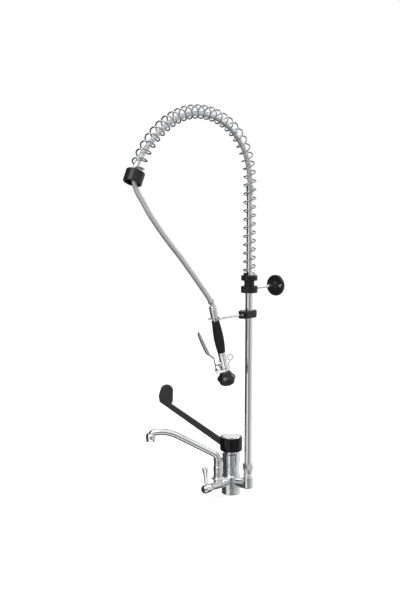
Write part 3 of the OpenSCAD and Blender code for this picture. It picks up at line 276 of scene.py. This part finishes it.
def cast_chrome(name, level, arm_start, arm_end):
    """Plate on a casting: streaky on the barrel, satin along the front arm, and painted near white
    there, a painted reflection of the white floor below.

    The arm's finish and its painted reflection come in from arm_start to arm_end, in metres ahead
    of the barrel's axis.
    """
    barrel, painted_arm_reflection = cool_gray(level), (0.97, 0.97, 0.97)
    look = Look(name, barrel, Metallic=1.0)
    split = look.node("ShaderNodeSeparateXYZ")
    look.link(look.place(), split.inputs["Vector"])
    ahead = look.math("MULTIPLY", split.outputs["Y"], -1.0)
    # Painted reflection: the colour fades from the barrel's gray to near white along the arm,
    # standing for the white floor it reflects.
    look.tint(look.ramp(ahead, 0.0, 1.0, arm_start, arm_end), barrel, painted_arm_reflection)
    on_arm = look.ramp(ahead, 0.0, 0.24, arm_start, arm_end)
    film = look.ramp(look.noise(scale=55, detail=5), 0.05, 0.12)
    look.rough(look.math("ADD", film, on_arm))
    streaks = look.noise(scale=150, detail=2, upright=0.4)
    look.bump(streaks, 0.30, WAVE_HEIGHT, PLATED_CORNER)
    return look.material


def brushed(name, color):
    """Bare turned or brushed metal with a fine grain."""
    look = Look(name, color, Metallic=1.0)
    look.rough(look.ramp(look.noise(scale=240, detail=4), 0.22, 0.36))
    look.bump(look.noise(scale=900), 0.08, GRAIN_HEIGHT)
    return look.material


def coated(name, color, rough, grain, relief, gloss=0.5):
    """Paint, rubber or moulded plastic: fine grain, and a little dust in its colour."""
    look = Look(name, color, Specular_IOR_Level=gloss)
    dusty = tuple(c * 1.5 + 0.002 for c in color)
    look.tint(look.noise(scale=70, detail=6), color, dusty)
    look.rough(look.ramp(look.noise(scale=45, detail=4), *rough))
    look.bump(look.noise(grain), relief, GRAIN_HEIGHT, COATED_CORNER)
    return look.material


def sleeve(name, threads=32, crossings=120):
    """Braided hose sleeve, with painted shade in the hollows of the weave: so many threads each
    way round it, and crossings along a metre.
    """
    look = Look(name, cool_gray(0.46, blue=0.02), Metallic=0.75, Roughness=0.30)
    wrap = look.node("ShaderNodeUVMap", uv_map="wrap")
    split = look.node("ShaderNodeSeparateXYZ")
    look.link(wrap.outputs["UV"], split.inputs["Vector"])
    round_part = look.math("MULTIPLY", split.outputs["X"], threads)
    along_part = look.math("MULTIPLY", split.outputs["Y"], crossings)
    waves = []
    for operation in ("ADD", "SUBTRACT"):
        turn = look.math(operation, round_part, along_part)
        waves.append(look.math("SINE", look.math("MULTIPLY", turn, 2 * math.pi)))
    weave = look.math("MAXIMUM", *waves)
    height = look.ramp(weave, 0.0, 1.0, -0.4, 1.0)
    # Painted shade: the colour follows the weave's height, dark in the hollows between the threads
    # and pale on their crowns.
    look.tint(height, cool_gray(0.40, blue=0.02), cool_gray(0.86, blue=0.02))
    look.bump(height, 0.4, GRAIN_HEIGHT)
    return look.material


CHROME = chrome("polished_chrome")
# Its front arm is painted near white, a painted reflection of the white floor.
CAST_CHROME = cast_chrome("cast_chrome", 0.75, arm_start=0.022, arm_end=0.034)
SATIN_CHROME = chrome("satin_chrome", 0.76, rough=(0.24, 0.32), wave=0.05, grain=90)
ROD_CHROME = chrome("rod_chrome", 0.62, rough=(0.14, 0.22), wave=0.05, grain=90)
DRAWN_CHROME = chrome("drawn_chrome", 0.86, rough=(0.14, 0.22), wave=0.08, grain=60)
# The trigger plate's chrome is set far darker than the rest: painted shade, standing for the dark
# surroundings its face reflects.
PLATE_CHROME_PAINTED_DARK = chrome("pressed_chrome_painted_dark", 0.34, rough=(0.07, 0.12), wave=0.10, grain=90)
NUT_CHROME = chrome("turned_chrome", 0.79, rough=(0.04, 0.09), wave=0.22, grain=220)
WIRE_CHROME = chrome("wire_chrome", 0.40, rough=(0.06, 0.12), blue=0.02)
STEEL = brushed("satin_steel", (0.60, 0.61, 0.63))
BRASS = brushed("turned_brass", (0.72, 0.56, 0.28))
POWDER = coated("black_powder_coat", (0.011, 0.011, 0.012), rough=(0.28, 0.38),
                grain=1400, relief=0.2, gloss=0.3)
LEVER = coated("black_lever_coat", (0.028, 0.028, 0.030), rough=(0.38, 0.48),
               grain=1400, relief=0.2, gloss=0.3)
GLOSS = coated("black_gloss", (0.003, 0.003, 0.004), rough=(0.10, 0.18),
               grain=300, relief=0.04, gloss=0.3)
BELL = coated("black_satin", (0.009, 0.009, 0.010), rough=(0.20, 0.28),
              grain=300, relief=0.05)
GRIP = coated("black_grip", (0.010, 0.010, 0.011), rough=(0.40, 0.50),
              grain=900, relief=0.2, gloss=0.25)
RUBBER = coated("black_rubber", (0.016, 0.016, 0.016), rough=(0.40, 0.50),
                grain=700, relief=0.2, gloss=0.45)
WHITE = coated("white_plastic", (0.72, 0.72, 0.70), rough=(0.35, 0.45),
               grain=400, relief=0.05)
SLEEVE = sleeve("woven_sleeve")

LOOKS = {
    CAST_CHROME: ("mixer_base", "mixer_body", "cartridge_collar"),
    NUT_CHROME: (
        "spout_coupling", "spout_nut", "tap_headwork", "tap_hub", "riser_coupling", "riser_nut",
    ),
    CHROME: (
        "cartridge_nut", "hub_disc", "aerator_housing", "tap_cap", "tap_lever",
        "riser_column", "inner_riser", "gun_tube", "valve_body",
    ),
    SATIN_CHROME: ("gun_nut",),
    DRAWN_CHROME: ("spout_tube",),
    ROD_CHROME: ("wall_rod", "hook_rod", "hook_fork", "hanging_loop"),
    STEEL: (
        "stem_pin", "hub_grub_screw", "hook_clamp_screws", "wall_clamp_screws", "riser_ferrule",
        "hose_ferrule", "valve_plunger", "trigger_pin",
    ),
    BRASS: ("cartridge_stem", "tap_spindle"),
    POWDER: (
        "hook_clamp", "wall_clamp", "wall_flange", "spring_holder", "spring_end_collar",
    ),
    LEVER: ("elbow_lever",),
    GLOSS: ("mixer_hub",),
    BELL: ("head_bell",),
    GRIP: ("gun_grip", "cartridge", "spray_face"),
    RUBBER: ("deck_gasket", "spout_seals", "riser_oring", "gun_washer", "head_bumper"),
    WHITE: ("cartridge_rotor", "aerator_insert"),
    WIRE_CHROME: ("spring",),
    SLEEVE: ("hose",),
}


def dress(piece, material):
    """Gives a piece its one material."""
    piece.data.materials.clear()
    piece.data.materials.append(material)


def dress_nodes():
    """Gives every CAD node in LOOKS its finish."""
    for material, names in LOOKS.items():
        for name in names:
            for slot in nodes[name].material_slots:
                slot.material = material


# ---------- camera ----------

CAMERA_PLACE = (1603.7, -1920.1, 873)
CAMERA_TURN = 42
CAMERA_DIP = 6.63
LENS_MM = 51.6
SENSOR_MM = 36


def make_camera():
    """The photograph's viewpoint, with its place in millimetres and its turns in degrees."""
    data = bpy.data.cameras.new("camera")
    data.lens = LENS_MM
    data.sensor_width = SENSOR_MM
    camera = bpy.data.objects.new("camera", data)
    bpy.context.scene.collection.objects.link(camera)
    camera.location = world_point(CAMERA_PLACE)
    camera.rotation_euler = (math.radians(90 - CAMERA_DIP), 0, math.radians(CAMERA_TURN))
    bpy.context.scene.camera = camera


# ---------- hose ----------

HOSE_SIDES = 32
HOSE_STEPS = 6


def make_hose():
    """The sleeved hose, from the inner riser's ferrule through the spring to the gun."""
    points = [world_point((RISER_X, y, z)) for y, z in HOSE_ROUTE]
    path = smooth_path(points, HOSE_STEPS)
    tilt = math.radians(HOSE_END_TILT)
    ahead = headings(path, UP, Vector((0, math.sin(tilt), -math.cos(tilt))))
    side = Vector((1, 0, 0))
    rings = [ring_round(p, h, side, HOSE_D / 2 * MM, HOSE_SIDES) for p, h in zip(path, ahead)]
    hose = loft("hose_sleeve", rings)
    wrap_round(hose, rings)
    dress(hose, SLEEVE)
    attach(hose, "fixed")
    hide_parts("hose")


# ---------- spring ----------

COIL_STEPS = 40
WIRE_SIDES = 12


def arc_step(place, radius, turn):
    """Where a place and heading, (y, z, degrees), end up after an arc."""
    y, z, heading = place
    a, b = math.radians(heading), math.radians(heading + turn)
    return (y + radius * (math.sin(b) - math.sin(a)),
            z - radius * (math.cos(b) - math.cos(a)), heading + turn)


def on_axis(s):
    """The place and heading, (y, z, degrees), at a distance along the spring's centre line."""
    if s < SPRING_STRAIGHT:
        return 0, SEAT_Z + s, 90
    place = (0, SEAT_Z + SPRING_STRAIGHT, 90)
    s -= SPRING_STRAIGHT
    for radius, turn in ARCH_LEGS:
        length = radius * math.radians(turn)
        if s <= length:
            return arc_step(place, radius, math.degrees(s / radius))
        place = arc_step(place, radius, turn)
        s -= length
    return place


def make_spring():
    """The wound wire, straight above its seat and then round the arch."""
    coil_r = (SPRING_D - SPRING_WIRE) / 2
    total = SPRING_STRAIGHT + sum(r * math.radians(a) for r, a in ARCH_LEGS)
    count = SPRING_TURNS * COIL_STEPS
    places = [(0, COIL_START)]
    for i in range(count + 1):
        s = SPRING_WIRE + (total - 2 * SPRING_WIRE) * i / count
        places.append((s, COIL_START + 360 * i / COIL_STEPS))
    places.append((total, COIL_START + 360 * SPRING_TURNS))
    path, sides = [], []
    for s, turn in places:
        y, z, heading = on_axis(s)
        t, h = math.radians(turn), math.radians(heading)
        out = Vector((math.sin(t), -math.cos(t) * math.sin(h), math.cos(t) * math.cos(h)))
        path.append(world_point(Vector((RISER_X, y, z)) + coil_r * out))
        sides.append(out)
    end = math.radians(on_axis(total)[2])
    ahead = headings(path, UP, Vector((0, math.cos(end), math.sin(end))))
    rings = [ring_round(p, h, side, SPRING_WIRE / 2 * MM, WIRE_SIDES)
             for p, h, side in zip(path, ahead, sides)]
    spring = loft("spring_wire", rings)
    dress(spring, WIRE_CHROME)
    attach(spring, "fixed")
    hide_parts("spring")


# ---------- trigger ----------

TRIGGER_HALF_WIDTH = 6
TRIGGER_SHEET = 1.3
TRIGGER_STEPS = 3
# Along the plate: its place in the gun's frame (x, z), how far its back stands out, its depth.
TRIGGER_STATIONS = (
    (24, -197.2, 1.0, 2.0), (24, -196, 2.6, 5.2), (24, -193, 3.9, 7.8), (24, -189.8, 2.6, 5.2),
    (24, -186, 1.6, 3.2), (24, -172, 1.5, 3.0), (24, -160, 1.5, 3.0), (24.6, -154.4, 1.5, 3.0),
    (28.5, -149.3, 1.5, 3.0), (33.4, -143.2, 1.6, 3.1), (35.2, -140.4, 2.4, 4.0),
    (36, -137.4, 5.4, 7.6), (37.1, -132.8, 7.0, 9.2), (40.5, -119.6, 7.3, 9.6),
    (45, -102, 6.8, 9.2), (49, -86.5, 5.6, 8.2), (51.6, -76.4, 4.2, 6.8),
    (52.9, -71.4, 2.4, 4.6), (53.3, -69.8, 1.2, 2.4),
)


def channel_ring(depth):
    """A round-backed channel's section: pairs of a place across it and a place behind its back."""
    steps = 12
    ring = []
    for shrink, angles in ((0, range(steps + 1)), (TRIGGER_SHEET, range(steps, -1, -1))):
        for k in angles:
            a = math.pi * (k / steps - 0.5)
            across = (TRIGGER_HALF_WIDTH - shrink) * math.sin(a)
            behind = shrink + (depth - shrink) * (1 - math.cos(a))
            ring.append((across, behind))
    return ring


def make_trigger():
    """The pressed trigger plate, a channel whose round back faces away from the grip."""
    to_world = (Matrix.Rotation(math.radians(GUN_TILT), 3, "X")
                @ Matrix.Rotation(math.radians(FRONT_TURN), 3, "Z"))
    stations = smooth_path([Vector(row) for row in TRIGGER_STATIONS], TRIGGER_STEPS)
    centers = [Vector((x, 0, z)) for x, z, _, _ in stations]
    ahead = headings(centers, UP, UP)
    rings = []
    for center, heading, (_, _, out, depth) in zip(centers, ahead, stations):
        back = Vector((heading.z, 0, -heading.x))
        rings.append([
            world_point(Vector(GUN_TOP) + to_world
                        @ (center + Vector((0, across, 0)) + (out - behind) * back))
            for across, behind in channel_ring(depth)
        ])
    plate = loft("trigger_plate", rings)
    # The plate's dark chrome is painted shade.
    dress(plate, PLATE_CHROME_PAINTED_DARK)
    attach(plate, "trigger")
    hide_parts("trigger")


# ---------- wall disc ----------

SCREW_OFFSET = 20
DISC_THICKNESS = 8
EYELET_SIDES = 24
# The rim's section: its radius, and how far it stands out of the disc's face.
EYELET_PROFILE = ((2.75, -0.9), (2.75, 0.2), (3.2, 0.7), (3.9, 0.8), (4.5, 0.4), (4.6, -0.1),
                  (3.6, -0.9))


def make_eyelets():
    """The chrome rims of the two screw holes in the wall disc's front."""
    low, high = (Vector(corner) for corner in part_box("wall_flange"))
    middle = (low + high) / 2
    face_y = high.y - DISC_THICKNESS * MM
    ahead = Vector((0, -1, 0))
    for side in (-1, 1):
        center = Vector((middle.x + side * SCREW_OFFSET * MM, face_y, middle.z))
        rings = [
            ring_round(center + out * MM * ahead, ahead, UP, r * MM, EYELET_SIDES)
            for r, out in EYELET_PROFILE
        ]
        eyelet = loft("screw_eyelet_%s" % ("left" if side < 0 else "right"), rings, loop=True)
        dress(eyelet, CHROME)
        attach(eyelet, "wall_bracket")


# ---------- studio ----------

# Brightness, where 1 is white.
WHITE_LEVEL = 1.0
FILL_LEVEL = 0.55
FLOOR_GLOW = 0.56
UNDER_LEVEL = 0.11

# Places in metres.
FLOOR_HALF = 6.0
LAMP_TARGET = Vector((0.03, -0.15, 0.5))
BOARD_DISTANCE = 2.6
BOARD_STEPS = 12
LOW, HIGH = -3.0, 3.6
FULL = (LOW, HIGH)
FRONT = (-1.1, 1.3)
FOOT = (LOW, -1.2)
MIDDLE = (-1.2, 1.6)
TOP = (1.6, HIGH)

# Boards round the faucet that only reflections see: from and to in degrees right of the camera,
# their lower and upper edge, and how bright they are.
FLAGS = (
    (-180, -165, FULL, 0.80),
    (-165, -150, FULL, 0.25),
    (-150, -132, FULL, 0.05),
    (-132, -121, FULL, 0.10),
    (-121, -108, FULL, 0.03),
    (-108, -101, FULL, 0.16),
    (-101, -86, FULL, 0.03),
    (-86, -79, FULL, 0.10),
    (-79, -60, FULL, 0.015),
    (-45, -38, FULL, 0.40),
    (-20, -9, FRONT, 0.36),
    (-9, 5, FRONT, 0.15),
    (5, 19, FRONT, 0.38),
    (19, 33, FRONT, 0.22),
    (33, 45, FRONT, 0.60),
    (45, 58, FRONT, 0.42),
    (58, 180, FOOT, 0.10),
    (58, 70, MIDDLE, 0.88),
    (70, 82, MIDDLE, 0.50),
    (82, 104, MIDDLE, 0.82),
    (104, 180, MIDDLE, 0.90),
    (58, 180, TOP, 0.40),
)


def make_world():
    """White where the camera or a reflection looks, a plain even fill for everything else."""
    world = bpy.data.worlds.new("studio")
    bpy.context.scene.world = world
    world.use_nodes = True
    tree = world.node_tree
    tree.nodes.clear()
    output = tree.nodes.new("ShaderNodeOutputWorld")
    mix = tree.nodes.new("ShaderNodeMixShader")
    path = tree.nodes.new("ShaderNodeLightPath")
    seen = path.outputs["Is Camera Ray"]
    for name in ("Is Glossy Ray", "Is Transmission Ray"):
        either = tree.nodes.new("ShaderNodeMath")
        either.operation = "MAXIMUM"
        tree.links.new(seen, either.inputs[0])
        tree.links.new(path.outputs[name], either.inputs[1])
        seen = either.outputs[0]
    tree.links.new(seen, mix.inputs["Fac"])
    for socket, level in ((mix.inputs[1], FILL_LEVEL), (mix.inputs[2], WHITE_LEVEL)):
        light = tree.nodes.new("ShaderNodeBackground")
        light.inputs["Color"].default_value = (1, 1, 1, 1)
        light.inputs["Strength"].default_value = level
        tree.links.new(light.outputs["Background"], socket)
    tree.links.new(mix.outputs["Shader"], output.inputs["Surface"])


def make_floor():
    """A pale floor that takes the object's shadow and shows white to the camera."""
    signs = ((-1, -1), (1, -1), (1, 1), (-1, 1))
    corners = [(x * FLOOR_HALF, y * FLOOR_HALF, 0) for x, y in signs]
    mesh = bpy.data.meshes.new("floor")
    mesh.from_pydata(corners, [], [(0, 1, 2, 3)])
    floor = new_object("floor", mesh)
    floor.visible_glossy = False
    look = Look("pale_floor", (0.86, 0.86, 0.86))
    look.rough(look.ramp(look.noise(scale=3, detail=2), 0.85, 0.95))
    path = look.node("ShaderNodeLightPath")
    glow = look.math("MULTIPLY", path.outputs["Is Camera Ray"], FLOOR_GLOW)
    look.shader.inputs["Emission Color"].default_value = (1, 1, 1, 1)
    look.link(glow, look.shader.inputs["Emission Strength"])
    mesh.materials.append(look.material)


def view_direction(turn):
    """The level direction turn degrees right of the camera, seen from the faucet."""
    a = math.radians(CAMERA_TURN)
    to_camera = Vector((math.sin(a), -math.cos(a), 0))
    to_right = Vector((math.cos(a), math.sin(a), 0))
    t = math.radians(turn)
    return math.cos(t) * to_camera + math.sin(t) * to_right


def as_board(board, level):
    """Lets only reflections see a board, which shines evenly."""
    look = Look(board.name, (0, 0, 0), Roughness=1.0, Specular_IOR_Level=0.0)
    look.shader.inputs["Emission Color"].default_value = (level, level, level, 1)
    look.shader.inputs["Emission Strength"].default_value = 1.0
    board.data.materials.append(look.material)
    board.visible_camera = False
    board.visible_diffuse = False
    board.visible_transmission = False
    board.visible_shadow = False


def make_flag(name, start, end, heights, level):
    """A curved studio board from start to end degrees round the faucet."""
    verts = []
    for i in range(BOARD_STEPS + 1):
        spot = view_direction(start + (end - start) * i / BOARD_STEPS) * BOARD_DISTANCE
        verts += [spot + UP * height for height in heights]
    faces = [(2 * i, 2 * i + 2, 2 * i + 3, 2 * i + 1) for i in range(BOARD_STEPS)]
    mesh = bpy.data.meshes.new(name)
    mesh.from_pydata(verts, [], faces)
    as_board(new_object(name, mesh), level)


def make_under_board(level, sides=48):
    """A round board deep below, the dark ground that surfaces facing down reflect."""
    turns = [2 * math.pi * k / sides for k in range(sides)]
    rim = [(BOARD_DISTANCE * math.cos(a), BOARD_DISTANCE * math.sin(a), LOW) for a in turns]
    mesh = bpy.data.meshes.new("under_board")
    mesh.from_pydata(rim, [], [tuple(range(sides))])
    as_board(new_object("under_board", mesh), level)


def make_lamp(name, turn, height, distance, size, watts):
    """A square soft lamp that looks at the middle of the faucet, placed in metres."""
    data = bpy.data.lights.new(name, "AREA")
    data.size = size
    data.energy = watts
    lamp = bpy.data.objects.new(name, data)
    bpy.context.scene.collection.objects.link(lamp)
    lamp.location = view_direction(turn) * distance + UP * height
    aim = LAMP_TARGET - lamp.location
    lamp.rotation_euler = aim.to_track_quat("-Z", "Y").to_euler()


def make_studio():
    """A white room with soft lamps and the boards that the plated pieces reflect."""
    make_world()
    make_floor()
    for i, flag in enumerate(FLAGS):
        make_flag("flag_%02d" % i, *flag)
    make_under_board(UNDER_LEVEL)
    make_lamp("key", turn=-35, height=2.6, distance=2.4, size=1.4, watts=32)
    make_lamp("rim", turn=120, height=2.0, distance=2.4, size=1.2, watts=16)
    bpy.context.scene.view_settings.view_transform = "Standard"


make_camera()
make_hose()
make_spring()
make_trigger()
make_eyelets()
dress_nodes()
make_studio()
